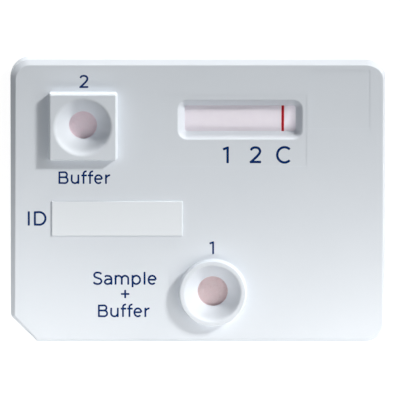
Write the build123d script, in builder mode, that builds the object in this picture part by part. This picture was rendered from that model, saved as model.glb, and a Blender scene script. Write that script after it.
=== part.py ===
# Lateral flow cassette with two crossed strips.
# A two-part moulded housing is pressed together on pins. It holds a test strip, which runs along X under
# the square buffer well and the reading window, and a sample strip, which runs along Y from the round
# sample well and meets the test membrane from below.
# Millimetres. The origin is on the table under the middle of the housing, +X along the test strip
# towards its absorbent end, +Y from the sample well towards the reading window, +Z up.

import math
import os

from build123d import *

# Outline of the housing, at the parting line
length = 65.5
width = 50.0
corner_radius = 3.5
corner_cut = 4.6             # front-left corner, cut off at 45 degrees
cut_rounding = 0.8           # rounding at both ends of that cut

# Shells of the two halves
base_height = 2.4            # bottom half, table to parting line
lid_height = 3.0             # top half, parting line to flat top
floor = 1.2
plate = 1.3
wall = 1.2
draft_angle = 2.0
edge_chamfer = 0.6           # bevel round the flat top
edge_round = 0.35            # rounding between that bevel and the flat top
base_chamfer = 0.45          # bevel round the underside
parting_chamfer = 0.12       # one side of the groove along the parting line

# Wells
well_height = 1.7            # above the flat top
well_foot = 0.15             # chamfer between the wells and the flat top
port_land = 0.5              # straight length of the hole over the pad
collar = 0.35                # ring round each hole, below the plate
collar_wall = 0.9
buffer_from_left = 12.7      # middle of the square well to the outline
buffer_from_back = 11.73
buffer_port_radius = 2.45    # hole over the pad
buffer_funnel_angle = 41.1   # wall of the funnel to its axis
buffer_lip = 0.8             # rounding of the inner edge of the rim
buffer_rim = 0.35            # flat between the lip and the bevel, where it is narrowest
buffer_chamfer = 0.22        # bevel round the top of the square well
buffer_corner = 0.1          # corners of its flat top
sample_x = 2.6               # middle of the round well
sample_from_front = 8.87
sample_port_radius = 2.65
sample_funnel_angle = 39.0
sample_lip = 0.5
sample_rim = 0.3             # flat between the two roundings
sample_rim_round = 0.3       # outer edge of the rim

# Reading window
window_x = 7.4
window_from_back = 10.6
window_length = 19.4
window_width = 4.6
window_corner = 0.5
bevel = 1.2                  # horizontal width of the slope round the window
window_land = 0.25           # straight wall under the slope
window_frame = 0.9           # rim that reaches down to the membrane
window_round = 0.35          # outer edge of the slope

# Shallow panels for print. The one round the window reaches beyond the slope on each side.
label_depth = 0.04
label_left = 3.15
label_right = 0.7
label_front = 4.75
label_back = 0.9
corner_label = (10.3, 10.6)
corner_label_from_right = 2.75
corner_label_from_back = 1.6
sample_label = (14.4, 10.3)
sample_label_to_port = 14.7  # middle of the panel to the middle of the round well
sample_label_drop = 0.12

# Raised writing panel
id_panel = (22.9, 6.2)
id_from_left = 7.2
id_y = -3.05
id_height = 0.25
id_chamfer = 0.12

# Pins of the bottom half in the sockets of the top half
pin_inset = 4.45             # outer pins to the outline
pin_spread = 12.0            # inner pins to the middle of the sample strip
pin_inner_y = -3.5
pin_radius = 1.0
pin_clearance = 0.02
pin_tip = 0.35               # chamfer on the tip
pin_headroom = 0.3           # tip to the end of the socket
socket_radius = 2.0
socket_lift = 0.3            # end of a socket to the parting line

# Layers of the strips
backing = 0.25
membrane = 0.2
conjugate = 0.25
pad = 0.4                    # buffer and absorbent pads, on the test backing
pad_gap = 0.05               # pads and membrane to what presses on them

# Test strip, along X
strip_from_back = 11.2       # middle of the strip to the outline
strip_width = 6.0
buffer_reach = 6.95          # buffer pad, from the port to the start of the strip
buffer_run = 5.05            # and on to the conjugate pad
membrane_before = 3.7        # membrane beyond each end of the window
membrane_after = 3.5
conjugate_overlap = 2.0      # on the membrane
buffer_overlap = 2.0         # on the conjugate pad
absorbent_overlap = 2.0      # on the membrane

# Sample strip, along Y
sample_width = 6.0
sample_reach = 4.87          # sample pad, from the port to the start of the strip
sample_run = 5.63            # and on to the transfer membrane
sample_overlap = 2.0         # on the transfer membrane
transfer_width = 4.5
bridge = 1.0                 # backing left at the end of the notch

# Bars of the top half that hold the absorbent pad down
bar = 0.8
bar_margin = 3.0             # bar to the end of the pad
bar_inset = 0.5              # end of a bar to the edge of the pad

# Rails, fences and stops of the bottom half
rail = 0.8
rail_spread = 1.7            # rail to the middle of its strip
fence = 0.8
fence_length = 3.0
fence_rise = 0.3             # above the backing
fence_margin = 3.0           # fence to the end of what it guides
side_gap = 0.15              # strip to fence or stop
wall_gap = 0.6               # end stop to the wall
stop_length = 4.0

# Levels above the table
parting_z = base_height
top_z = base_height + lid_height
ceiling_z = top_z - plate
rim_z = top_z + well_height
port_z = ceiling_z - collar                  # lower end of the holes over the pads
pad_top_z = port_z - pad_gap
strip_top_z = pad_top_z - pad                # face of the test backing
strip_bed_z = strip_top_z - backing
membrane_top_z = strip_top_z + membrane
sample_top_z = strip_bed_z                   # face of the sample backing, under the test backing
sample_bed_z = sample_top_z - backing
window_lip_z = membrane_top_z + pad_gap

# Places of the wells and the window
left = -length / 2
right = length / 2
front = -width / 2
back = width / 2
buffer_port = (left + buffer_from_left, back - buffer_from_back)
sample_port = (sample_x, front + sample_from_front)
window_center = (window_x, back - window_from_back)

# Funnels: radius at the rim before and after its lip is rounded
funnel_depth = rim_z - port_z - port_land
buffer_slope = math.radians(buffer_funnel_angle)
buffer_throat = buffer_port_radius + funnel_depth * math.tan(buffer_slope)
buffer_mouth = buffer_throat + buffer_lip * math.tan(math.pi / 4 - buffer_slope / 2)
sample_slope = math.radians(sample_funnel_angle)
sample_throat = sample_port_radius + funnel_depth * math.tan(sample_slope)
sample_mouth = sample_throat + sample_lip * math.tan(math.pi / 4 - sample_slope / 2)

# Wells round the funnels
well_taper = well_height * math.tan(math.radians(draft_angle))
buffer_side = 2 * (buffer_mouth + buffer_rim + buffer_chamfer + well_taper)
sample_radius = sample_mouth + sample_rim + sample_rim_round + well_taper

# Slope of the window
mouth_length = window_length + 2 * bevel
mouth_width = window_width + 2 * bevel
slope_depth = top_z - window_lip_z - window_land
slope_angle = math.degrees(math.atan2(bevel, slope_depth))

# Panels: centre x, centre y, length, width
window_label = (
    window_center[0] + (label_right - label_left) / 2,
    window_center[1] + (label_back - label_front) / 2,
    mouth_length + label_left + label_right,
    mouth_width + label_front + label_back,
)
corner_panel = (
    right - corner_label_from_right - corner_label[0] / 2,
    back - corner_label_from_back - corner_label[1] / 2,
    *corner_label,
)
sample_panel = (sample_x - sample_label_to_port, sample_port[1] - sample_label_drop, *sample_label)
writing_panel = (left + id_from_left + id_panel[0] / 2, id_y, *id_panel)

# Ends and edges of the test strip
strip_y = back - strip_from_back
strip_front = strip_y - strip_width / 2
strip_back = strip_y + strip_width / 2
fence_offset = side_gap + fence / 2          # edge of a strip to the middle of its fence
strip_start = buffer_port[0] - buffer_reach
strip_end = right - wall - wall_gap - fence - side_gap
conjugate_start = buffer_port[0] + buffer_run
buffer_end = conjugate_start + buffer_overlap
membrane_start = window_x - window_length / 2 - membrane_before
membrane_end = window_x + window_length / 2 + membrane_after
conjugate_end = membrane_start + conjugate_overlap
absorbent_start = membrane_end - absorbent_overlap
bar_places = [(absorbent_start + bar_margin, strip_y), (strip_end - bar_margin, strip_y)]
strip_fences = (strip_start + fence_margin, membrane_start - fence_margin, strip_end - fence_margin)

# Ends and edges of the sample strip
sample_start = sample_port[1] - sample_reach
sample_end = strip_back - bridge
transfer_start = sample_port[1] + sample_run
transfer_end = sample_end - side_gap
sample_pad_end = transfer_start + sample_overlap
notch_width = transfer_width + 2 * side_gap
crossing_start = sample_x - sample_width / 2 - side_gap
crossing_end = sample_x + sample_width / 2 + side_gap
sample_fences = (
    sample_start + fence_margin,
    (transfer_start + strip_front) / 2,
    strip_front - fence_offset - fence_margin,
)

# Pins: along the back, beside the sample strip, then in the front corners
pin_left = left + pin_inset
pin_right = right - pin_inset
pin_front = front + pin_inset
pin_back = back - pin_inset
pin_places = [
    (pin_left, pin_back),
    (0, pin_back),
    (pin_right, pin_back),
    (sample_x - pin_spread, pin_inner_y),
    (sample_x + pin_spread, pin_inner_y),
    (pin_left + corner_cut / 2, pin_front + corner_cut / 2),
    (pin_right, pin_front),
]

diagonal = Axis((0, 0, 0), (1, 1, 0))        # from the cut corner to the one opposite

os.makedirs("parts", exist_ok=True)


def housing_outline(inset=0.0):
    """The rounded outline with its cut corner, drawn inset from the parting line."""
    with BuildSketch() as outline:
        Rectangle(length, width)
        corners = outline.vertices().sort_by(diagonal)
        chamfer(corners[0], corner_cut)
        fillet([corner for corner in outline.vertices() if corner in corners[1:]], corner_radius)
        fillet(outline.vertices().sort_by(diagonal)[:2], cut_rounding)
        if inset:
            offset(amount=-inset, kind=Kind.INTERSECTION)
    return outline.sketch


def side_faces(builder):
    """The walls that the last operation made."""
    return builder.faces(Select.LAST).filter_by(Axis.Z, reverse=True)


def panel_outline(panel):
    """A rectangle for a panel given as centre and size."""
    with Locations(panel[:2]):
        Rectangle(*panel[2:])


# Top half: plate with a skirt, two wells, a window and the sockets
with BuildPart() as top_housing:
    with BuildSketch(Plane.XY.offset(parting_z)):
        add(housing_outline())
    extrude(amount=lid_height)
    draft(side_faces(top_housing), Plane.XY.offset(parting_z), draft_angle)
    chamfer(top_housing.faces().sort_by(Axis.Z)[-1].edges(), edge_chamfer)
    fillet(top_housing.faces().sort_by(Axis.Z)[-1].edges(), edge_round)
    chamfer(top_housing.faces().sort_by(Axis.Z)[0].edges(), parting_chamfer)
    with BuildSketch(Plane.XY.offset(parting_z)):
        add(housing_outline(wall))
    extrude(amount=lid_height - plate, mode=Mode.SUBTRACT)

    # Square buffer well
    with BuildSketch(Plane.XY.offset(top_z)):
        with Locations(buffer_port):
            RectangleRounded(buffer_side, buffer_side, buffer_corner + buffer_chamfer + well_taper)
    extrude(amount=well_height)
    draft(side_faces(top_housing), Plane.XY.offset(top_z), draft_angle)
    chamfer(top_housing.edges(Select.LAST).filter_by_position(Axis.Z, top_z, top_z), well_foot)
    chamfer(top_housing.faces().sort_by(Axis.Z)[-1].edges(), buffer_chamfer)

    # Round sample well
    with BuildSketch(Plane.XY.offset(top_z)):
        with Locations(sample_port):
            Circle(sample_radius)
    extrude(amount=well_height)
    draft(side_faces(top_housing), Plane.XY.offset(top_z), draft_angle)
    chamfer(top_housing.edges(Select.LAST).filter_by_position(Axis.Z, top_z, top_z), well_foot)
    rim = top_housing.faces().filter_by(Axis.Z).group_by(Axis.Z)[-1].sort_by(Axis.Y)[0]
    fillet(rim.edges(), sample_rim_round)

    # Collars under the plate and the bars that hold the absorbent pad
    with BuildSketch(Plane.XY.offset(ceiling_z)):
        with Locations(buffer_port):
            Circle(buffer_port_radius + collar_wall)
        with Locations(sample_port):
            Circle(sample_port_radius + collar_wall)
        with Locations(*bar_places):
            Rectangle(bar, strip_width - 2 * bar_inset)
    extrude(amount=-collar)

    # Funnels down to the pads
    for (x, y), port_radius, throat_radius, lip in (
        (buffer_port, buffer_port_radius, buffer_throat, buffer_lip),
        (sample_port, sample_port_radius, sample_throat, sample_lip),
    ):
        with BuildSketch(Plane.XZ.offset(-y)):
            with BuildLine():
                Polyline(
                    (x, rim_z),
                    (x, port_z),
                    (x + port_radius, port_z),
                    (x + port_radius, port_z + port_land),
                    (x + throat_radius, rim_z),
                    close=True,
                )
            make_face()
        revolve(axis=Axis((x, y, 0), (0, 0, 1)), mode=Mode.SUBTRACT)
        fillet(top_housing.edges(Select.LAST).filter_by_position(Axis.Z, rim_z, rim_z), lip)

    # Print panels, sunk a little below the flat top, and the raised writing panel
    with BuildSketch(Plane.XY.offset(top_z)):
        for panel in (window_label, corner_panel, sample_panel):
            panel_outline(panel)
    extrude(amount=-label_depth, mode=Mode.SUBTRACT)
    with BuildSketch(Plane.XY.offset(top_z)):
        panel_outline(writing_panel)
    extrude(amount=id_height)
    id_top = top_housing.edges(Select.LAST).filter_by_position(Axis.Z, top_z + id_height, top_z + id_height)
    chamfer(id_top, id_chamfer)

    # Window: a rim down to the membrane, then the opening with its sloping sides
    with BuildSketch(Plane.XY.offset(ceiling_z)):
        with Locations(window_center):
            Rectangle(window_length + 2 * window_frame, window_width + 2 * window_frame)
    extrude(amount=window_lip_z - ceiling_z)
    with BuildSketch(Plane.XY.offset(top_z)):
        with Locations(window_center):
            RectangleRounded(mouth_length, mouth_width, window_corner + bevel)
    extrude(amount=-slope_depth, taper=slope_angle, mode=Mode.SUBTRACT)
    label_z = top_z - label_depth
    fillet(top_housing.edges(Select.LAST).filter_by_position(Axis.Z, label_z, label_z), window_round)
    with BuildSketch(Plane.XY.offset(window_lip_z)):
        with Locations(window_center):
            RectangleRounded(window_length, window_width, window_corner)
    extrude(amount=window_land, mode=Mode.SUBTRACT)

    # Sockets
    socket_length = ceiling_z - parting_z - socket_lift
    with BuildSketch(Plane.XY.offset(ceiling_z)):
        with Locations(*pin_places):
            Circle(socket_radius)
    extrude(amount=-socket_length)
    with BuildSketch(Plane.XY.offset(ceiling_z)):
        with Locations(*pin_places):
            Circle(pin_radius + pin_clearance)
    extrude(amount=-socket_length, mode=Mode.SUBTRACT)

# Bottom half: floor with a low wall, the nest for both strips and the pins
with BuildPart() as bottom_housing:
    with BuildSketch(Plane.XY.offset(parting_z)):
        add(housing_outline())
    extrude(amount=-base_height)
    draft(side_faces(bottom_housing), Plane.XY.offset(parting_z), -draft_angle)
    chamfer(bottom_housing.faces().sort_by(Axis.Z)[-1].edges(), parting_chamfer)
    chamfer(bottom_housing.faces().sort_by(Axis.Z)[0].edges(), base_chamfer)
    with BuildSketch(Plane.XY.offset(floor)):
        add(housing_outline(wall))
    extrude(amount=base_height - floor, mode=Mode.SUBTRACT)

    # Rails under the test strip, which leave room for the sample strip to pass below it
    with BuildSketch(Plane.XY.offset(floor)):
        for y in (strip_y - rail_spread, strip_y + rail_spread):
            for start, end in ((strip_start, crossing_start), (crossing_end, strip_end)):
                with Locations(((start + end) / 2, y)):
                    Rectangle(end - start, rail)
        with Locations((sample_x, sample_end + fence_offset)):
            Rectangle(stop_length, fence)
    extrude(amount=strip_bed_z - floor)

    # Rails under the sample strip
    with BuildSketch(Plane.XY.offset(floor)):
        with Locations((sample_x, (sample_start + sample_end) / 2)):
            with GridLocations(2 * rail_spread, 0, 2, 1):
                Rectangle(rail, sample_end - sample_start)
    extrude(amount=sample_bed_z - floor)

    # Fences and end stops round the test strip
    with BuildSketch(Plane.XY.offset(floor)):
        for x in strip_fences:
            with Locations((x, strip_front - fence_offset), (x, strip_back + fence_offset)):
                Rectangle(fence_length, fence)
        with Locations((strip_start - fence_offset, strip_y), (strip_end + fence_offset, strip_y)):
            Rectangle(fence, stop_length)
    extrude(amount=strip_top_z + fence_rise - floor)

    # Fences and end stop round the sample strip
    with BuildSketch(Plane.XY.offset(floor)):
        for y in sample_fences:
            with Locations((sample_x, y)):
                with GridLocations(sample_width + 2 * fence_offset, 0, 2, 1):
                    Rectangle(fence, fence_length)
        with Locations((sample_x, sample_start - fence_offset)):
            Rectangle(stop_length, fence)
    extrude(amount=sample_top_z + fence_rise - floor)

    # Pins
    with BuildSketch(Plane.XY.offset(floor)):
        with Locations(*pin_places):
            Circle(pin_radius)
    extrude(amount=ceiling_z - pin_headroom - floor)
    chamfer(bottom_housing.faces().filter_by(Axis.Z).group_by(Axis.Z)[-1].edges(), pin_tip)

# Test strip, bottom up. Its backing is notched so that the transfer membrane reaches the test membrane.
with BuildPart() as test_strip_backing:
    with BuildSketch(Plane.XY.offset(strip_bed_z)):
        with Locations(((strip_start + strip_end) / 2, strip_y)):
            Rectangle(strip_end - strip_start, strip_width)
        with Locations((sample_x, (strip_front + sample_end) / 2)):
            Rectangle(notch_width, sample_end - strip_front, mode=Mode.SUBTRACT)
    extrude(amount=backing)

with BuildPart() as test_membrane:
    with BuildSketch(Plane.XY.offset(strip_top_z)):
        with Locations(((membrane_start + membrane_end) / 2, strip_y)):
            Rectangle(membrane_end - membrane_start, strip_width)
    extrude(amount=membrane)

# The conjugate pad steps up onto the membrane, and the buffer pad onto the conjugate pad
with BuildPart() as conjugate_pad:
    with BuildSketch(Plane.XZ.offset(-strip_back)):
        with BuildLine():
            Polyline(
                (conjugate_start, strip_top_z),
                (membrane_start, strip_top_z),
                (membrane_start, membrane_top_z),
                (conjugate_end, membrane_top_z),
                (conjugate_end, membrane_top_z + conjugate),
                (membrane_start, membrane_top_z + conjugate),
                (membrane_start, strip_top_z + conjugate),
                (conjugate_start, strip_top_z + conjugate),
                close=True,
            )
        make_face()
    extrude(amount=strip_width)

with BuildPart() as buffer_pad:
    with BuildSketch(Plane.XZ.offset(-strip_back)):
        with BuildLine():
            Polyline(
                (strip_start, strip_top_z),
                (conjugate_start, strip_top_z),
                (conjugate_start, strip_top_z + conjugate),
                (buffer_end, strip_top_z + conjugate),
                (buffer_end, pad_top_z),
                (strip_start, pad_top_z),
                close=True,
            )
        make_face()
    extrude(amount=strip_width)

with BuildPart() as absorbent_pad:
    with BuildSketch(Plane.XZ.offset(-strip_back)):
        with BuildLine():
            Polyline(
                (strip_end, strip_top_z),
                (membrane_end, strip_top_z),
                (membrane_end, membrane_top_z),
                (absorbent_start, membrane_top_z),
                (absorbent_start, pad_top_z),
                (strip_end, pad_top_z),
                close=True,
            )
        make_face()
    extrude(amount=strip_width)

# Sample strip, bottom up
with BuildPart() as sample_strip_backing:
    with BuildSketch(Plane.XY.offset(sample_bed_z)):
        with Locations((sample_x, (sample_start + sample_end) / 2)):
            Rectangle(sample_width, sample_end - sample_start)
    extrude(amount=backing)

with BuildPart() as transfer_membrane:
    with BuildSketch(Plane.XY.offset(sample_top_z)):
        with Locations((sample_x, (transfer_start + transfer_end) / 2)):
            Rectangle(transfer_width, transfer_end - transfer_start)
    extrude(amount=backing)

# The sample pad steps up onto the transfer membrane
with BuildPart() as sample_pad:
    with BuildSketch(Plane.YZ.offset(sample_x - sample_width / 2)):
        with BuildLine():
            Polyline(
                (sample_start, sample_top_z),
                (transfer_start, sample_top_z),
                (transfer_start, sample_top_z + backing),
                (sample_pad_end, sample_top_z + backing),
                (sample_pad_end, pad_top_z),
                (sample_start, pad_top_z),
                close=True,
            )
        make_face()
    extrude(amount=sample_width)

pieces = {
    "top_housing": top_housing,
    "bottom_housing": bottom_housing,
    "test_strip_backing": test_strip_backing,
    "test_membrane": test_membrane,
    "conjugate_pad": conjugate_pad,
    "buffer_pad": buffer_pad,
    "absorbent_pad": absorbent_pad,
    "sample_strip_backing": sample_strip_backing,
    "transfer_membrane": transfer_membrane,
    "sample_pad": sample_pad,
}
for name, piece in pieces.items():
    piece.part.label = name
    export_step(piece.part, f"parts/{name}.step")
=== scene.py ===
import math

import bmesh
import bpy
import numpy as np
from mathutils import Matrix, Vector


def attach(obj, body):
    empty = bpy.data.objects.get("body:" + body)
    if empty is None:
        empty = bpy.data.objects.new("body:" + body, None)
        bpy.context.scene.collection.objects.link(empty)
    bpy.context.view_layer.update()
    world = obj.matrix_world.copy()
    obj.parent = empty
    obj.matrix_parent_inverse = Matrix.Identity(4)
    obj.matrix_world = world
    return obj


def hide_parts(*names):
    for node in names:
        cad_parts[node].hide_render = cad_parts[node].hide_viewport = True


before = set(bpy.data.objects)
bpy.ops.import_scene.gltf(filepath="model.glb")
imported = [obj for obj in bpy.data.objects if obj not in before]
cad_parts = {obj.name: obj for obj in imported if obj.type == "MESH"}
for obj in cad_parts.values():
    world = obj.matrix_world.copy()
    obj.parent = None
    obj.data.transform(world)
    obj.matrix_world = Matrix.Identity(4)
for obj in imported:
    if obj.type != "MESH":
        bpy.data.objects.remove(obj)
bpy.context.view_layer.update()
mm = 0.001
scene = bpy.context.scene
scene.view_settings.view_transform = "Standard"
print("frame loaded:", ", ".join(sorted(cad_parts)))


# The middles of the ports and of the window, in millimetres
bufferPort = (-20.05, 13.27)
samplePort = (2.6, -16.13)
windowMiddle = (7.4, 14.4)


# Meshes and arrays

def meshPoints(node):
    # The corners of a CAD node's mesh in metres, one row each.
    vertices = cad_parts[node].data.vertices
    points = np.empty(len(vertices) * 3)
    vertices.foreach_get("co", points)
    return points.reshape(-1, 3)


def nodeBox(node):
    # A CAD node's box in millimetres, to a thousandth.
    points = meshPoints(node) / mm
    low, high = points.min(0), points.max(0)
    box = {"low": low, "high": high, "middle": (low + high) / 2, "size": high - low}
    return {key: np.round(value, 3) for key, value in box.items()}


def tubeFaces(rows, cols):
    # Quads round a tube whose points are numbered ring by ring, with one flat face on each end ring.
    row = np.arange(rows - 1)[:, None] * cols
    ring = np.arange(cols)
    nextRing = np.roll(ring, -1)
    quads = np.stack([row + ring, row + nextRing, row + cols + nextRing, row + cols + ring], -1)
    ends = [ring[::-1].tolist(), (ring + (rows - 1) * cols).tolist()]
    return quads.reshape(-1, 4).tolist() + ends


def addPiece(name, points, faces, material, smooth=True):
    # An object at the origin with its place in its mesh.
    mesh = bpy.data.meshes.new(name)
    mesh.from_pydata(np.asarray(points, float).reshape(-1, 3).tolist(), [], faces)
    mesh.update()
    mesh.polygons.foreach_set("use_smooth", np.full(len(mesh.polygons), smooth))
    mesh.materials.append(material)
    piece = bpy.data.objects.new(name, mesh)
    scene.collection.objects.link(piece)
    return piece


def ramp(x, low, high):
    # 0 below low, 1 above high, the smooth step 3t^2 - 2t^3 between.
    t = np.clip((x - low) / (high - low), 0, 1)
    return t * t * (3 - 2 * t)


latticeSize = 64  # points along each side of the noise lattice, after which it repeats


def valueNoise(x, y, cell, seed):
    # Random heights from -1 to 1 on a square lattice of that cell size, blended between lattice points by
    # the smooth step 3t^2 - 2t^3 in both directions.
    lattice = np.random.default_rng(seed).uniform(-1, 1, (latticeSize, latticeSize))
    u, v = x / cell, y / cell
    i, j = np.floor(u).astype(int), np.floor(v).astype(int)
    s, t = ramp(u - i, 0, 1), ramp(v - j, 0, 1)
    i, j, nextI, nextJ = (number % latticeSize for number in (i, j, i + 1, j + 1))
    near = lattice[i, j] * (1 - s) + lattice[nextI, j] * s
    far = lattice[i, nextJ] * (1 - s) + lattice[nextI, nextJ] * s
    return near * (1 - t) + far * t


# Shader helpers

mixSockets = {"factor": 0, "first": 6, "second": 7, "result": 2}  # a Mix node's sockets for colours


def addNode(tree, kind, inputs=None, **settings):
    # A node with its settings, and with each input linked to a socket or set to a value.
    node = tree.nodes.new("ShaderNode" + kind)
    for key, value in settings.items():
        setattr(node, key, value)
    for key, value in (inputs or {}).items():
        if isinstance(value, bpy.types.NodeSocket):
            tree.links.new(value, node.inputs[key])
        else:
            node.inputs[key].default_value = value
    return node


def newGroup(name, inputs, outputs):
    # An empty shader group with a Vector input, the named number inputs and the named number outputs.
    tree = bpy.data.node_groups.new(name, "ShaderNodeTree")
    tree.interface.new_socket("Vector", in_out="INPUT", socket_type="NodeSocketVector")
    for key, value in inputs.items():
        socket = tree.interface.new_socket(key, in_out="INPUT", socket_type="NodeSocketFloat")
        socket.default_value = value
    for key in outputs:
        tree.interface.new_socket(key, in_out="OUTPUT", socket_type="NodeSocketFloat")
    return tree, tree.nodes.new("NodeGroupInput"), tree.nodes.new("NodeGroupOutput")


def newMaterial(name, sockets):
    # A Principled material with the given values set on its own sockets.
    material = bpy.data.materials.new(name)
    material.use_nodes = True
    tree = material.node_tree
    shader = tree.nodes["Principled BSDF"]
    for key, value in sockets.items():
        shader.inputs[key].default_value = value
    place = addNode(tree, "TexCoord").outputs["Object"]
    return material, tree, shader, place


def calc(tree, operation, *values):
    # One step of arithmetic on sockets and numbers.
    return addNode(tree, "Math", dict(enumerate(values)), operation=operation).outputs[0]


def mixColour(tree, factor, first, second):
    # The first colour where the factor is 0, the second where it is 1.
    first, second = (c if isinstance(c, bpy.types.NodeSocket) else (*c, 1) for c in (first, second))
    inputs = {mixSockets["factor"]: factor, mixSockets["first"]: first, mixSockets["second"]: second}
    return addNode(tree, "Mix", inputs, data_type="RGBA").outputs[mixSockets["result"]]


def spread(tree, value, low, high):
    # The value 0 to 1 carried to low to high.
    return addNode(tree, "MapRange", {"Value": value, "To Min": low, "To Max": high}).outputs["Result"]


# Moulded surface: a fine spark-eroded grain, a slow mottling of tone and patches of gloss from handling.
# Each noise feeds its own output and has its own scale input.
grainNoises = {
    "Grain": {"scale": ("Grain Scale", 4200.0), "form": {"Detail": 2.0, "Roughness": 0.55}},
    "Tone": {"scale": ("Mottle Scale", 90.0), "form": {"Detail": 3.0, "Roughness": 0.5}},
    "Gloss": {"scale": ("Patch Scale", 420.0), "form": {"Detail": 4.0, "Distortion": 0.6}},
}
grainGroup, grainIn, grainOut = newGroup(
    "mouldedGrain", dict(spec["scale"] for spec in grainNoises.values()), grainNoises)
for key, spec in grainNoises.items():
    noise = addNode(grainGroup, "TexNoise", {
        "Vector": grainIn.outputs["Vector"], "Scale": grainIn.outputs[spec["scale"][0]], **spec["form"]})
    grainGroup.links.new(noise.outputs["Fac"], grainOut.inputs[key])

# Fibres: ridges of stretched noise in three directions, laid over each other, and a coarser clumping.
fibreWeave = {
    "scales": {"Scale": 9000.0, "Stretch": 0.09}, "turns": (0.2, 1.25, 2.3),
    "form": {"Detail": 1.0, "Distortion": 0.35}, "middle": 0.5, "ridge": 0.11,
    "clump": {"Scale": 900.0, "Detail": 3.0},
}
fibreGroup, fibreIn, fibreOut = newGroup("layeredFibres", fibreWeave["scales"], ("Fibre", "Clump"))
strand = None
for turn in fibreWeave["turns"]:
    turned = addNode(fibreGroup, "Mapping", {"Vector": fibreIn.outputs["Vector"], "Rotation": (0, 0, turn)})
    squeeze = addNode(fibreGroup, "CombineXYZ", {"X": fibreIn.outputs["Stretch"], "Y": 1.0, "Z": 1.0})
    pulled = addNode(
        fibreGroup, "VectorMath", {0: turned.outputs[0], 1: squeeze.outputs[0]}, operation="MULTIPLY")
    noise = addNode(fibreGroup, "TexNoise", {
        "Vector": pulled.outputs[0], "Scale": fibreIn.outputs["Scale"], **fibreWeave["form"]})
    fold = calc(fibreGroup, "SUBTRACT", noise.outputs["Fac"], fibreWeave["middle"])
    thread = addNode(fibreGroup, "MapRange", {
        "Value": calc(fibreGroup, "ABSOLUTE", fold), "From Min": 0.0, "From Max": fibreWeave["ridge"],
        "To Min": 1.0, "To Max": 0.0}).outputs["Result"]
    strand = thread if strand is None else calc(fibreGroup, "MAXIMUM", strand, thread)
clump = addNode(fibreGroup, "TexNoise", {"Vector": fibreIn.outputs["Vector"], **fibreWeave["clump"]})
fibreGroup.links.new(strand, fibreOut.inputs["Fibre"])
fibreGroup.links.new(clump.outputs["Fac"], fibreOut.inputs["Clump"])


def grainedMaterial(name, finish):
    # Plastic, card film or ink: a tone between two colours, patches of gloss and, where it has one, a grain.
    material, tree, shader, place = newMaterial(name, finish["sockets"])
    grain = addNode(tree, "Group", {"Vector": place, **finish["scales"]}, node_tree=grainGroup).outputs
    colour = mixColour(tree, grain["Tone"], finish["deep"], finish["pale"])
    tree.links.new(colour, shader.inputs["Base Color"])
    tree.links.new(spread(tree, grain["Gloss"], *finish["gloss"]), shader.inputs["Roughness"])
    if "bump" in finish:
        bump = addNode(tree, "Bump", {"Height": grain["Grain"], **finish["bump"]})
        tree.links.new(bump.outputs["Normal"], shader.inputs["Normal"])
    return material, tree, shader, place, colour


print("shader groups ready")


# Housing: the two moulded halves

housing = {
    "sockets": {"IOR": 1.57}, "scales": {}, "gloss": (0.54, 0.64),
    "pale": (0.79, 0.83, 0.885), "deep": (0.755, 0.80, 0.86),
    "bump": {"Distance": 0.0022 * mm, "Strength": 0.35},
    "weldPlaces": 7, "flatWithin": 0.3, "crease": 28.0,  # decimals of a metre, then degrees
}
# The writing panel's sides and the level it stands above, in millimetres
writingPanel = {"x": (-25.55, -2.65), "y": (-6.15, 0.05), "above": 5.62, "chalk": (0.87, 0.91, 0.955)}
# Where the bevel round the flat top differs from the solid's, in millimetres: the way out, how far out the
# shift starts and is full, and the shift, which is negative where the bevel reaches further in
slant = math.sqrt(0.5)
bevelEase = {
    "levels": (4.85, 5.3),
    "back": ((0, 1), 21.0, 24.0, -0.26),
    "left": ((-1, 0), 29.5, 31.6, -0.24),
    "right": ((1, 0), 29.5, 31.6, 0.28),
    "cutCorner": ((-slant, -slant), 35.9, 36.7, 0.30),
}
# The round well's rim, in millimetres: the radii between which points move and the level above which they do
rimEase = {"radii": (5.4, 5.86), "above": 5.9, "squeeze": 0.7}


def writingMask(tree, place):
    # 1 on the raised writing panel, which is whiter than the rest, and 0 elsewhere.
    axes = addNode(tree, "SeparateXYZ", {"Vector": place}).outputs
    inside = calc(tree, "GREATER_THAN", axes["Z"], writingPanel["above"] * mm)
    for axis in ("x", "y"):
        low, high = (side * mm for side in writingPanel[axis])
        near = calc(tree, "COMPARE", axes[axis.upper()], (low + high) / 2, (high - low) / 2)
        inside = calc(tree, "MULTIPLY", inside, near)
    return inside


def easedBevel(points):
    # Each point moves along a side's way out by the shift times two smooth steps: one of how far out the
    # point lies, and one of its height, from the bevel's foot to the flat top.
    plan = points[:, :2] / mm
    rise = ramp(points[:, 2] / mm, *bevelEase["levels"])
    moved = points.copy()
    for side in ("back", "left", "right", "cutCorner"):
        way, start, full, shift = bevelEase[side]
        moved[:, :2] += np.outer(shift * rise * ramp(plan @ np.array(way), start, full), way) * mm
    return moved


def sharperRim(points):
    # On the outer wall and rounding of the round well's rim, the distance by which a point lies inside the
    # wall's foot is multiplied by the squeeze.
    fromAxis = points[:, :2] / mm - samplePort
    radius = np.hypot(fromAxis[:, 0], fromAxis[:, 1])
    inner, outer = rimEase["radii"]
    rim = (radius > inner) & (radius < outer) & (points[:, 2] / mm > rimEase["above"])
    wanted = outer - (outer - radius[rim]) * rimEase["squeeze"]
    moved = points.copy()
    moved[rim, :2] += fromAxis[rim] * (wanted / radius[rim] - 1)[:, None] * mm
    return moved


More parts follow.
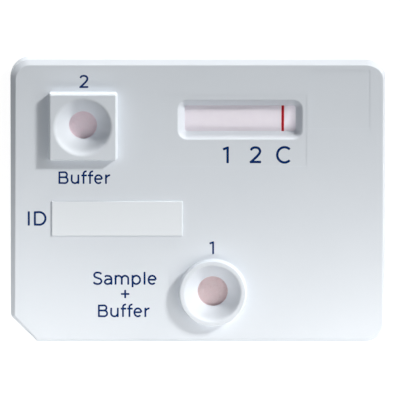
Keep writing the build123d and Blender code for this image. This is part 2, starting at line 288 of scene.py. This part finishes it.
def weldedCopy(node, name, material):
    # The node's loose triangles with the corners that share a place made one, and flat regions made whole
    # faces again.
    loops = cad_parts[node].data.loops
    corners = np.empty(len(loops), int)
    loops.foreach_get("vertex_index", corners)
    rounded = np.round(meshPoints(node), housing["weldPlaces"])
    points, index = np.unique(rounded, axis=0, return_inverse=True)
    triangles = index.reshape(-1)[corners].reshape(-1, 3)
    whole = (triangles != np.roll(triangles, 1, 1)).all(1)
    piece = addPiece(name, sharperRim(easedBevel(points)), triangles[whole].tolist(), material)
    shape = bmesh.new()
    shape.from_mesh(piece.data)
    bmesh.ops.dissolve_limit(
        shape, angle_limit=math.radians(housing["flatWithin"]), verts=shape.verts[:], edges=shape.edges[:])
    shape.to_mesh(piece.data)
    shape.free()
    piece.data.set_sharp_from_angle(angle=math.radians(housing["crease"]))
    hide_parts(node)
    return piece


plastic, tree, shader, place, colour = grainedMaterial("satin_white_polystyrene", housing)
chalked = mixColour(tree, writingMask(tree, place), colour, writingPanel["chalk"])
tree.links.new(chalked, shader.inputs["Base Color"])
halves = {}
for node, name in (("top_housing", "moulded_lid"), ("bottom_housing", "moulded_base")):
    half = weldedCopy(node, name, plastic)
    weighted = half.modifiers.new("flat faces stay flat", "WEIGHTED_NORMAL")
    weighted.keep_sharp = True
    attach(half, "root")
    halves[name] = half
lid = halves["moulded_lid"]
print("housing halves ready:", {name: len(half.data.polygons) for name, half in halves.items()})


# Strips inside: pads, membranes and their backing cards

# Each layer fills its CAD node's box, less the inset at the top. Under and over say how the bottom and the
# top step along the strip: the rise, and where it starts and ends. Sizes in millimetres.
flat = (0.0, 0.0, 1.0)
fleece = {"over": flat, "inset": 0.01, "fuzz": 0.030, "port": None, "padded": True}
membrane = {
    "slot": "membrane", "under": flat, "over": flat, "inset": 0.005, "edge": 0.03, "fuzz": 0.004, "cell": 0.6,
    "port": None, "padded": False, "colours": ((0.86, 0.80, 0.89), (0.90, 0.85, 0.92)),
    "fibre": {"Scale": 14000.0, "Stretch": 0.25},
}
padLayers = {
    "buffer_fleece": {
        **fleece, "node": "buffer_pad", "slot": "buffer_fleece", "under": (0.25, -15.4, -15.02),
        "port": {"middle": bufferPort, "radius": 2.45, "dip": 0.22, "crown": 0.14},
        "edge": 0.12, "cell": 0.35, "seed": 11,
        "colours": ((0.80, 0.665, 0.725), (0.90, 0.71, 0.775)), "fibre": {"Scale": 5200.0, "Stretch": 0.10}},
    "sample_fleece": {
        **fleece, "node": "sample_pad", "slot": "sample_fleece", "under": (0.25, -11.0, -10.52),
        "port": {"middle": samplePort, "radius": 2.65, "dip": 0.26, "crown": 0.16},
        "edge": 0.16, "cell": 0.35, "seed": 12,
        "colours": ((0.68, 0.545, 0.55), (0.76, 0.55, 0.575)), "fibre": {"Scale": 5200.0, "Stretch": 0.10}},
    "conjugate_fleece": {
        **fleece, "node": "conjugate_pad", "slot": "conjugate", "under": (0.20, -6.4, -6.02),
        "over": (0.20, -6.4, -6.02), "edge": 0.07, "fuzz": 0.012, "cell": 0.3, "seed": 13,
        "colours": ((0.48, 0.23, 0.32), (0.56, 0.30, 0.38)), "fibre": {"Scale": 6500.0, "Stretch": 0.08}},
    "cotton_wick": {
        **fleece, "node": "absorbent_pad", "slot": "wick", "under": (-0.20, 20.62, 21.0),
        "edge": 0.08, "cell": 0.4, "seed": 14,
        "colours": ((0.86, 0.86, 0.84), (0.91, 0.91, 0.90)), "fibre": {"Scale": 4600.0, "Stretch": 0.12}},
    "reading_membrane": {**membrane, "node": "test_membrane", "seed": 15},
    "carrier_membrane": {**membrane, "node": "transfer_membrane", "seed": 16},
}
# Steps of the grid and the easing of the dip, outside and inside the port's radius, in millimetres. Each
# fluff gives its share, how many of its cells go into one and what is added to the seed.
layerGrid = {
    "lipRows": 5, "stepAlong": 0.11, "stepAcross": 0.12, "leastRows": 40, "dipEase": (0.35, 0.1),
    "fluffs": ((0.65, 1, 0), (0.35, 3, 40)), "fluffShift": 50, "fluffSink": 0.6, "bottomRound": 0.6,
}
# The fibres' finish. The pale colour and its share are a painted highlight, mixed into the colour on the
# fibre ridges.
fibreFinish = {
    "sockets": {"Roughness": 0.92, "Specular IOR Level": 0.25}, "paintedHighlight": (0.95, 0.91, 0.93), "paintedHighlightShare": 0.20,
    "bump": {"Distance": 0.02 * mm, "Strength": 0.5},
}
# The control line's bands, the later ones on top: half width and softness in millimetres, and colour
controlLine = {
    "x": 14.83, "wander": 0.025, "wave": {"Scale": 2200.0, "Detail": 2.0},
    "bands": ((0.235, 0.05, (0.66, 0.012, 0.024)), (0.10, 0.08, (0.26, 0.003, 0.010))),
}


def stepped(step, s):
    # The rise times the smooth step of the place along the strip.
    rise, low, high = step
    return rise * ramp(s, low, high)


def roundedDrop(distance, edge):
    # How far a quarter circle of the edge radius lies below its top, at that distance from the side.
    d = np.clip(distance, 0, edge)
    return edge - np.sqrt(np.maximum(edge ** 2 - (edge - d) ** 2, 0))


def layerSurface(spec):
    # A flat cushion section carried along the longer side of the node's box. Across the strip the top runs
    # level and drops by a quarter circle of the edge radius at both sides, and the bottom rises there by a
    # share of that; along it, the same drop closes both ends, the levels follow their steps and the top
    # carries lattice noise in two sizes. Under its port the top lies lower by dip, eased in over the edge of
    # the port, and rises again to the middle by crown * (1 - d^2 / r^2)^2.
    box = nodeBox(spec["node"])
    length, width = (0, 1) if box["size"][0] > box["size"][1] else (1, 0)
    start, end = box["low"][length], box["high"][length]
    middle, half = box["middle"][width], box["size"][width] / 2
    edge = spec["edge"]
    lip = edge * (1 - np.cos(np.linspace(0, math.pi / 2, layerGrid["lipRows"])))
    rows = max(int((end - start) / layerGrid["stepAlong"]), layerGrid["leastRows"])
    s = np.concatenate([start + lip, np.linspace(start + edge, end - edge, rows)[1:-1], (end - lip)[::-1]])
    cols = int(box["size"][width] / layerGrid["stepAcross"])
    w = np.concatenate([-half + lip, np.linspace(-half + edge, half - edge, cols)[1:-1], (half - lip)[::-1]])
    endDrop = roundedDrop(np.minimum(s - start, end - s), edge)
    sideDrop = roundedDrop(half - np.abs(w), edge)
    fall = np.maximum(endDrop[:, None], sideDrop[None, :])

    across, along = np.meshgrid(w, s)
    x, y = (along, middle + across) if length == 0 else (middle - across, along)
    u, v = x + layerGrid["fluffShift"], y + layerGrid["fluffShift"]
    fluff = 0
    for share, parts, added in layerGrid["fluffs"]:
        fluff = fluff + share * valueNoise(u, v, spec["cell"] / parts, spec["seed"] + added)
    over = stepped(spec["over"], s)
    top = (box["high"][2] - spec["inset"] + over - over.max())[:, None] - fall
    top += spec["fuzz"] * (fluff - layerGrid["fluffSink"])
    port = spec["port"]
    if port:
        outside, inside = layerGrid["dipEase"]
        away = np.hypot(x - port["middle"][0], y - port["middle"][1])
        top += port["crown"] * np.clip(1 - (away / port["radius"]) ** 2, 0, 1) ** 2
        top -= port["dip"] * ramp(-away, -port["radius"] - outside, inside - port["radius"])
    under = stepped(spec["under"], s)
    bottom = (box["low"][2] + under - under.min())[:, None] + layerGrid["bottomRound"] * fall
    ring = np.concatenate([np.stack([x, y, top], -1)[:, ::-1], np.stack([x, y, bottom], -1)], 1)
    return ring * mm, tubeFaces(ring.shape[0], ring.shape[1])


def fibreMaterial(name, spec):
    # A soft layer: clumps between two colours, and a painted highlight that makes the fibre ridges paler.
    material, tree, shader, place = newMaterial(name, fibreFinish["sockets"])
    fibres = addNode(tree, "Group", {"Vector": place, **spec["fibre"]}, node_tree=fibreGroup).outputs
    tint = mixColour(tree, fibres["Clump"], *spec["colours"])
    # Painted highlight: the fibre ridges are mixed towards the pale colour, up to its share.
    paintedHighlight = spread(tree, fibres["Fibre"], 0.0, fibreFinish["paintedHighlightShare"])
    withPaintedHighlight = mixColour(tree, paintedHighlight, tint, fibreFinish["paintedHighlight"])
    tree.links.new(withPaintedHighlight, shader.inputs["Base Color"])
    bump = addNode(tree, "Bump", {"Height": fibres["Fibre"], **fibreFinish["bump"]})
    tree.links.new(bump.outputs["Normal"], shader.inputs["Normal"])
    return material, tree, shader, place, withPaintedHighlight


def lineMask(tree, place, half, soft):
    # 1 within half of the control line's x, falling to 0 over soft, with an edge that wanders a little.
    x = addNode(tree, "SeparateXYZ", {"Vector": place}).outputs["X"]
    wave = addNode(tree, "TexNoise", {"Vector": place, **controlLine["wave"]}).outputs["Fac"]
    wander = controlLine["wander"] * mm
    moved = calc(tree, "ADD", x, spread(tree, wave, -wander, wander))
    away = calc(tree, "ABSOLUTE", calc(tree, "SUBTRACT", moved, controlLine["x"] * mm))
    return addNode(tree, "MapRange", {
        "Value": away, "From Min": (half - soft) * mm, "From Max": (half + soft) * mm,
        "To Min": 1.0, "To Max": 0.0}, interpolation_type="SMOOTHSTEP").outputs["Result"]


for name, spec in padLayers.items():
    material, tree, shader, place, colour = fibreMaterial(name + "_finish", spec)
    if name == "reading_membrane":
        for half, soft, band in controlLine["bands"]:
            colour = mixColour(tree, lineMask(tree, place, half, soft), colour, band)
        tree.links.new(colour, shader.inputs["Base Color"])
    layer = addPiece(name, *layerSurface(spec), material)
    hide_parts(spec["node"])
    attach(layer, "root")
print("strip layers ready:", ", ".join(padLayers))

backingCard = {
    "sockets": {"IOR": 1.5}, "scales": {"Grain Scale": 9000.0, "Mottle Scale": 200.0},
    "pale": (0.86, 0.86, 0.85), "deep": (0.82, 0.82, 0.82), "gloss": (0.22, 0.34),
}
card = grainedMaterial("smooth_card_film", backingCard)[0]
for node in ("test_strip_backing", "sample_strip_backing"):
    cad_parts[node].data.materials.clear()
    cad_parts[node].data.materials.append(card)
print("backing cards dressed")


# Printed legends: strokes of ink on the lid

stroke = 0.072  # half the stroke, in cap heights
arcPoints, spanPoints = 48, 14


def line(*points):
    # Straight from point to point.
    return np.array(points, float)


def arc(cx, cy, rx, ry, start, end):
    # Ellipse: x = cx + rx cos a and y = cy + ry sin a, with a from start to end in degrees.
    a = np.radians(np.linspace(start, end, arcPoints))
    return np.stack([cx + rx * np.cos(a), cy + ry * np.sin(a)], 1)


def curve(*points):
    # Catmull-Rom spline through the points: on each span the cubic that leaves and enters along half the
    # chord between its neighbours.
    p = np.array(points, float)
    p = np.vstack([2 * p[:1] - p[1:2], p, 2 * p[-1:] - p[-2:-1]])
    a, b, c, d = (p[k:len(p) - 3 + k, None] for k in range(4))
    t = np.linspace(0, 1, spanPoints)[None, :-1, None]
    bend, twist = 2 * a - 5 * b + 4 * c - d, 3 * b - a - 3 * c + d
    spans = 0.5 * (2 * b + (c - a) * t + bend * t ** 2 + twist * t ** 3)
    return np.vstack([spans.reshape(-1, 2), p[-2:-1]])


def joined(*paths):
    # One path after the other, as a single stroke.
    return np.vstack(paths)


low, high, mid = stroke, 1 - stroke, 0.75 - stroke
# Each glyph: how far on the next one starts, then its strokes, in cap heights
glyphs = {
    "B": (0.99, [
        line((low, 0), (low, 1)),
        joined(line((low, high)), arc(0.475, 0.735, 0.207, 0.207, 90, -90), line((low, 0.528))),
        joined(line((low, 0.528)), arc(0.50, 0.293, 0.235, 0.235, 90, -90), line((low, low)))]),
    "C": (0.85, [arc(0.49, 0.5, 0.434, 0.459, 45, 315)]),
    "D": (0.86, [
        line((low, 0), (low, 1)),
        joined(line((low, high)), arc(0.36, 0.5, 0.442, 0.442, 90, -90), line((low, low)))]),
    "I": (0.42, [line((low, 0), (low, 1))]),
    "S": (0.845, [curve(
        (0.665, 0.815), (0.56, 0.91), (0.385, 0.948), (0.20, 0.905), (0.105, 0.75), (0.185, 0.60),
        (0.375, 0.52), (0.575, 0.44), (0.67, 0.275), (0.575, 0.105), (0.375, 0.048), (0.185, 0.09),
        (0.05, 0.195))]),
    "a": (0.832, [
        joined(curve((0.075, 0.615), (0.18, 0.68), (0.32, mid + 0.005), (0.47, 0.655), (0.562, 0.55),
                     (0.585, 0.42)), line((0.585, 0))),
        curve((0.585, 0.40), (0.42, 0.425), (0.22, 0.395), (0.075, 0.23), (0.16, 0.085), (0.31, 0.05),
              (0.47, 0.10), (0.585, 0.21))]),
    "e": (0.86, [line((low, 0.385), (0.60, 0.385)), arc(0.333, 0.375, 0.277, 0.325, 2, 316)]),
    "f": (0.515, [
        joined(line((0.175, 0)), arc(0.375, 0.80, 0.20, 0.207, 180, 76)), line((0, mid), (0.44, mid))]),
    "l": (0.324, [line((low, 0), (low, 1))]),
    "m": (1.302, [
        line((low, 0), (low, 0.75)),
        joined(line((low, 0.44)), arc(0.303, 0.455, 0.245, 0.237, 180, 0), line((0.548, 0))),
        joined(line((0.548, 0.44)), arc(0.795, 0.455, 0.247, 0.237, 180, 0), line((1.042, 0)))]),
    "p": (0.92, [line((low, -0.2), (low, 0.75)), arc(0.356, 0.375, 0.296, 0.325, 0, 360)]),
    "r": (0.42, [line((low, 0), (low, 0.75)), arc(0.40, 0.36, 0.342, 0.335, 180, 88)]),
    "u": (0.835, [
        joined(line((low, 0.75)), arc(0.327, 0.315, 0.269, 0.262, 180, 360)),
        line((0.596, 0.75), (0.596, 0))]),
    "1": (0.305, [line((0.247, 0), (0.247, 1)), line((-0.03, 0.83), (0.247, high))]),
    "2": (0.678, [
        curve((0.06, 0.775), (0.16, 0.90), (0.335, 0.945), (0.52, 0.895), (0.612, 0.735), (0.56, 0.57),
              (0.42, 0.40), (0.22, 0.205), (0.045, 0.045)),
        line((0.0, low), (0.678, low))]),
    "+": (0.667, [line((0.0, 0.333), (0.667, 0.333)), line((0.333, 0.0), (0.333, 0.667))]),
}
inkFilm = {
    "sockets": {"IOR": 1.48, "Specular IOR Level": 0.05},
    "scales": {"Grain Scale": 7000.0, "Mottle Scale": 700.0},
    "deep": (0.002, 0.026, 0.13), "pale": (0.003, 0.031, 0.15), "gloss": (0.45, 0.58),
    "bump": {"Distance": 0.003 * mm, "Strength": 0.4},
    # the section's upper points: side in half widths, height in shares of proud
    "section": ((1, 0.3), (0.9, 0.9), (0.45, 1), (-0.45, 1), (-0.9, 0.9), (-1, 0.3)),
    "proud": 0.014 * mm, "sunk": 0.012 * mm,
    "corner": 0.5, "cornerRows": 5, "step": 0.09 * mm, "leastRows": 4,  # corner radius in half widths
    "doubled": 1e-9,  # points of a path that lie closer than this are one
    "lift": 0.0004 * mm, "liftRange": 0.004 * mm,  # so that crossing strokes never share a plane
    "probe": 20 * mm,  # a level above the lid
}
# Text, middle of its width, baseline and cap height in millimetres
legends = {
    "legend_buffer_number": [("2", -19.88, 20.00, 2.27)],
    "legend_buffer": [("Buffer", -19.81, 3.07, 2.19)],
    "legend_identity": [("ID", -28.10, -4.31, 2.53)],
    "legend_sample": [
        ("Sample", -12.58, -14.79, 2.28), ("+", -12.71, -17.17, 2.20), ("Buffer", -12.95, -20.52, 2.19)],
    "legend_sample_number": [("1", 2.46, -9.36, 2.25)],
    "legend_window": [("1", 4.93, 6.72, 2.94), ("2", 10.06, 6.72, 2.94), ("C", 14.95, 6.72, 2.94)],
}


def strokeRibbon(path, half, level):
    # A low flat-topped section carried along the path, turned square to it. Near both ends its half width
    # shrinks as a quarter circle of the corner radius, so the ends are square with rounded corners.
    step = np.linalg.norm(np.diff(path, axis=0), axis=1)
    path = path[np.concatenate([[True], step > inkFilm["doubled"]])]
    run = np.concatenate([[0], np.cumsum(np.linalg.norm(np.diff(path, axis=0), axis=1))])
    total = run[-1]
    corner = inkFilm["corner"] * half
    cap = corner * (1 - np.cos(np.linspace(0, math.pi / 2, inkFilm["cornerRows"])))
    rows = max(int(total / inkFilm["step"]), inkFilm["leastRows"])
    at = np.concatenate([cap, np.linspace(corner, total - corner, rows)[1:-1], (total - cap)[::-1]])
    x, y = np.interp(at, run, path[:, 0]), np.interp(at, run, path[:, 1])
    tx, ty = np.gradient(x, at), np.gradient(y, at)
    size = np.hypot(tx, ty)
    wide = half - roundedDrop(np.minimum(at, total - at), corner)
    side, rise = np.array(inkFilm["section"]).T
    side = np.concatenate([side, [-1, 1]])  # the two points sunk into the lid
    rise = np.concatenate([rise * inkFilm["proud"], np.full(2, -inkFilm["sunk"])])
    px = x[:, None] + (-ty / size * wide)[:, None] * side
    py = y[:, None] + (tx / size * wide)[:, None] * side
    pz = np.broadcast_to(level + rise, px.shape)
    return np.stack([px, py, pz], -1), tubeFaces(*px.shape)


def surfaceUnder(x, y):
    # The level of the lid at that place.
    spot = lid.ray_cast(Vector((x, y, inkFilm["probe"])), Vector((0, 0, -1)))[1]
    return spot.z


ink = grainedMaterial("navy_pad_print", inkFilm)[0]
for name, words in legends.items():
    points, faces, first, lift = [], [], 0, 0.0
    for text, middle, baseline, cap in words:
        starts = np.concatenate([[0], np.cumsum([glyphs[letter][0] for letter in text])])
        height = cap * mm
        left = middle * mm - starts[-1] * height / 2
        level = surfaceUnder(middle * mm, baseline * mm + height / 2)
        for letter, start in zip(text, starts):
            for path in glyphs[letter][1]:
                printed = path * height + np.array([left + start * height, baseline * mm])
                ribbon, ribbonFaces = strokeRibbon(printed, stroke * height, level + lift)
                points.append(ribbon.reshape(-1, 3))
                faces += [[corner + first for corner in face] for face in ribbonFaces]
                first += len(points[-1])
                lift = (lift + inkFilm["lift"]) % inkFilm["liftRange"]
    legend = addPiece(name, np.vstack(points), faces, ink)
    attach(legend, "root")
print("legends printed:", ", ".join(legends))


# Floor, light and camera

def seenByCamera(tree):
    # 1 for rays that reach the camera straight, mirrored or through glass, 0 for rays that only carry light.
    rays = addNode(tree, "LightPath").outputs
    seen = calc(tree, "MAXIMUM", rays["Is Camera Ray"], rays["Is Glossy Ray"])
    return calc(tree, "MAXIMUM", seen, rays["Is Transmission Ray"])


floor = {"size": 3.0, "drop": 0.03 * mm, "tone": (0.82, 0.82, 0.82), "glow": 0.93, "shade": (0.2, 0.2, 0.2)}
floorMaterial = bpy.data.materials.new("plain_white_floor")
floorMaterial.use_nodes = True
tree = floorMaterial.node_tree
tree.nodes.clear()
matt = addNode(tree, "BsdfDiffuse", {"Color": (*floor["tone"], 1)})
shadow = addNode(tree, "BsdfDiffuse", {"Color": (*floor["shade"], 1)})
glow = addNode(tree, "Emission", {"Strength": floor["glow"]})
bright = addNode(tree, "AddShader", {0: glow.outputs[0], 1: shadow.outputs[0]})
choose = addNode(tree, "MixShader", {0: seenByCamera(tree), 1: matt.outputs[0], 2: bright.outputs[0]})
addNode(tree, "OutputMaterial", {"Surface": choose.outputs[0]})
half = floor["size"] / 2
floorCorners = ((-half, -half), (half, -half), (half, half), (-half, half))
floorPoints = [(x, y, -floor["drop"]) for x, y in floorCorners]
table = addPiece("table_top", floorPoints, [[0, 1, 2, 3]], floorMaterial, smooth=False)

ambient = {"colour": (0.70, 0.88, 1.0), "strength": 0.055, "backdrop": (1, 1, 1)}
world = bpy.data.worlds.new("studio")
scene.world = world
world.use_nodes = True
tree = world.node_tree
tree.nodes.clear()
dim = addNode(tree, "Background", {"Color": (*ambient["colour"], 1), "Strength": ambient["strength"]})
white = addNode(tree, "Background", {"Color": (*ambient["backdrop"], 1), "Strength": 1.0})
choose = addNode(tree, "MixShader", {0: seenByCamera(tree), 1: dim.outputs[0], 2: white.outputs[0]})
addNode(tree, "OutputWorld", {"Surface": choose.outputs[0]})

keyLight = {"towards": (1.50, 1.16, 1.0), "energy": 2.2, "angle": 8.0, "colour": (1.0, 0.99, 0.96)}
sun = bpy.data.lights.new("window_key", "SUN")
sun.energy = keyLight["energy"]
sun.angle = math.radians(keyLight["angle"])
sun.color = keyLight["colour"]
sunObject = bpy.data.objects.new("window_key", sun)
sunObject.rotation_euler = Vector(keyLight["towards"]).to_track_quat("Z", "Y").to_euler()
scene.collection.objects.link(sunObject)


def snoot(middle, height, size, energy):
    # A lamp straight above a recess, narrow enough to light only that.
    return {"place": (*middle, height), "aim": (*middle, 0), "size": size, "energy": energy, "spread": 5}


# Places, aims and sizes in millimetres, energy in watts, spread in degrees
softLamps = {
    "right_softbox": {
        "place": (220, 0, 220), "aim": (0, 0, 5), "size": (150, 150), "energy": 0.145,
        "tint": (1, 0.985, 0.98)},
    "front_strip": {
        "place": (0, -40, 52), "aim": (0, -40, 0), "size": (190, 12), "energy": 0.0265,
        "tint": (1, 0.985, 0.97)},
    "front_left": {
        "place": (-38, -40, 40), "aim": (-30, -30, 0), "size": (30, 12), "energy": 0.0032,
        "tint": (1, 0.99, 0.95)},
    "front_right": {
        "place": (38, -40, 40), "aim": (30, -30, 0), "size": (30, 12), "energy": 0.0042,
        "tint": (1, 0.99, 0.95)},
    "front_card": {"place": (0, -95, 4), "aim": (0, -25, 4), "size": (200, 6), "energy": 0.032},
    "back_card": {"place": (0, 110, 4), "aim": (0, 25, 4), "size": (200, 6), "energy": 0.022},
    "back_strip": {"place": (0, 165, 18), "aim": (0, 0, 6), "size": (200, 16), "energy": 0.12},
    "left_fill": {"place": (-40, -14, 38), "aim": (-20, -8, 5), "size": (24, 24), "energy": 0.0009},
    "window_snoot": snoot(windowMiddle, 24, (18.4, 3.9), 0.000028),
    "window_end_snoot": snoot((16.3, windowMiddle[1]), 24, (1.3, 3.9), 0.0000067),
    "buffer_snoot": snoot(bufferPort, 30, (4.4, 4.4), 0.000008),
    "sample_snoot": snoot(samplePort, 30, (4.8, 4.8), 0.0000028),
}
for name, spec in softLamps.items():
    lamp = bpy.data.lights.new(name, "AREA")
    lamp.shape = "RECTANGLE"
    lamp.size, lamp.size_y = (side * mm for side in spec["size"])
    lamp.energy = spec["energy"]
    lamp.spread = math.radians(spec.get("spread", 180))
    lamp.color = spec.get("tint", (1, 1, 1))
    lampObject = bpy.data.objects.new(name, lamp)
    lampObject.location = Vector(spec["place"]) * mm
    outOfAim = Vector(spec["place"]) - Vector(spec["aim"])
    lampObject.rotation_euler = outOfAim.to_track_quat("Z", "Y").to_euler()
    lampObject.visible_camera = False
    scene.collection.objects.link(lampObject)

# Aim, distance, width of field and sensor in millimetres, tilt in degrees from straight above, towards the
# back, and clip in metres
view = {
    "aim": (0.38, 0.213, 5.4), "tilt": 9.0, "distance": 2000.0, "field": 69.88, "sensor": 36.0,
    "clip": (0.01, 20.0),
}
lens = bpy.data.cameras.new("camera")
lens.sensor_width = view["sensor"]
lens.lens = view["sensor"] * view["distance"] / view["field"]
lens.clip_start, lens.clip_end = view["clip"]
camera = bpy.data.objects.new("camera", lens)
tilt = math.radians(view["tilt"])
wayBack = Vector((0, math.sin(tilt), math.cos(tilt)))
camera.location = (Vector(view["aim"]) + view["distance"] * wayBack) * mm
camera.rotation_euler = (-tilt, 0, 0)
scene.collection.objects.link(camera)
scene.camera = camera
print("floor, light and camera ready")
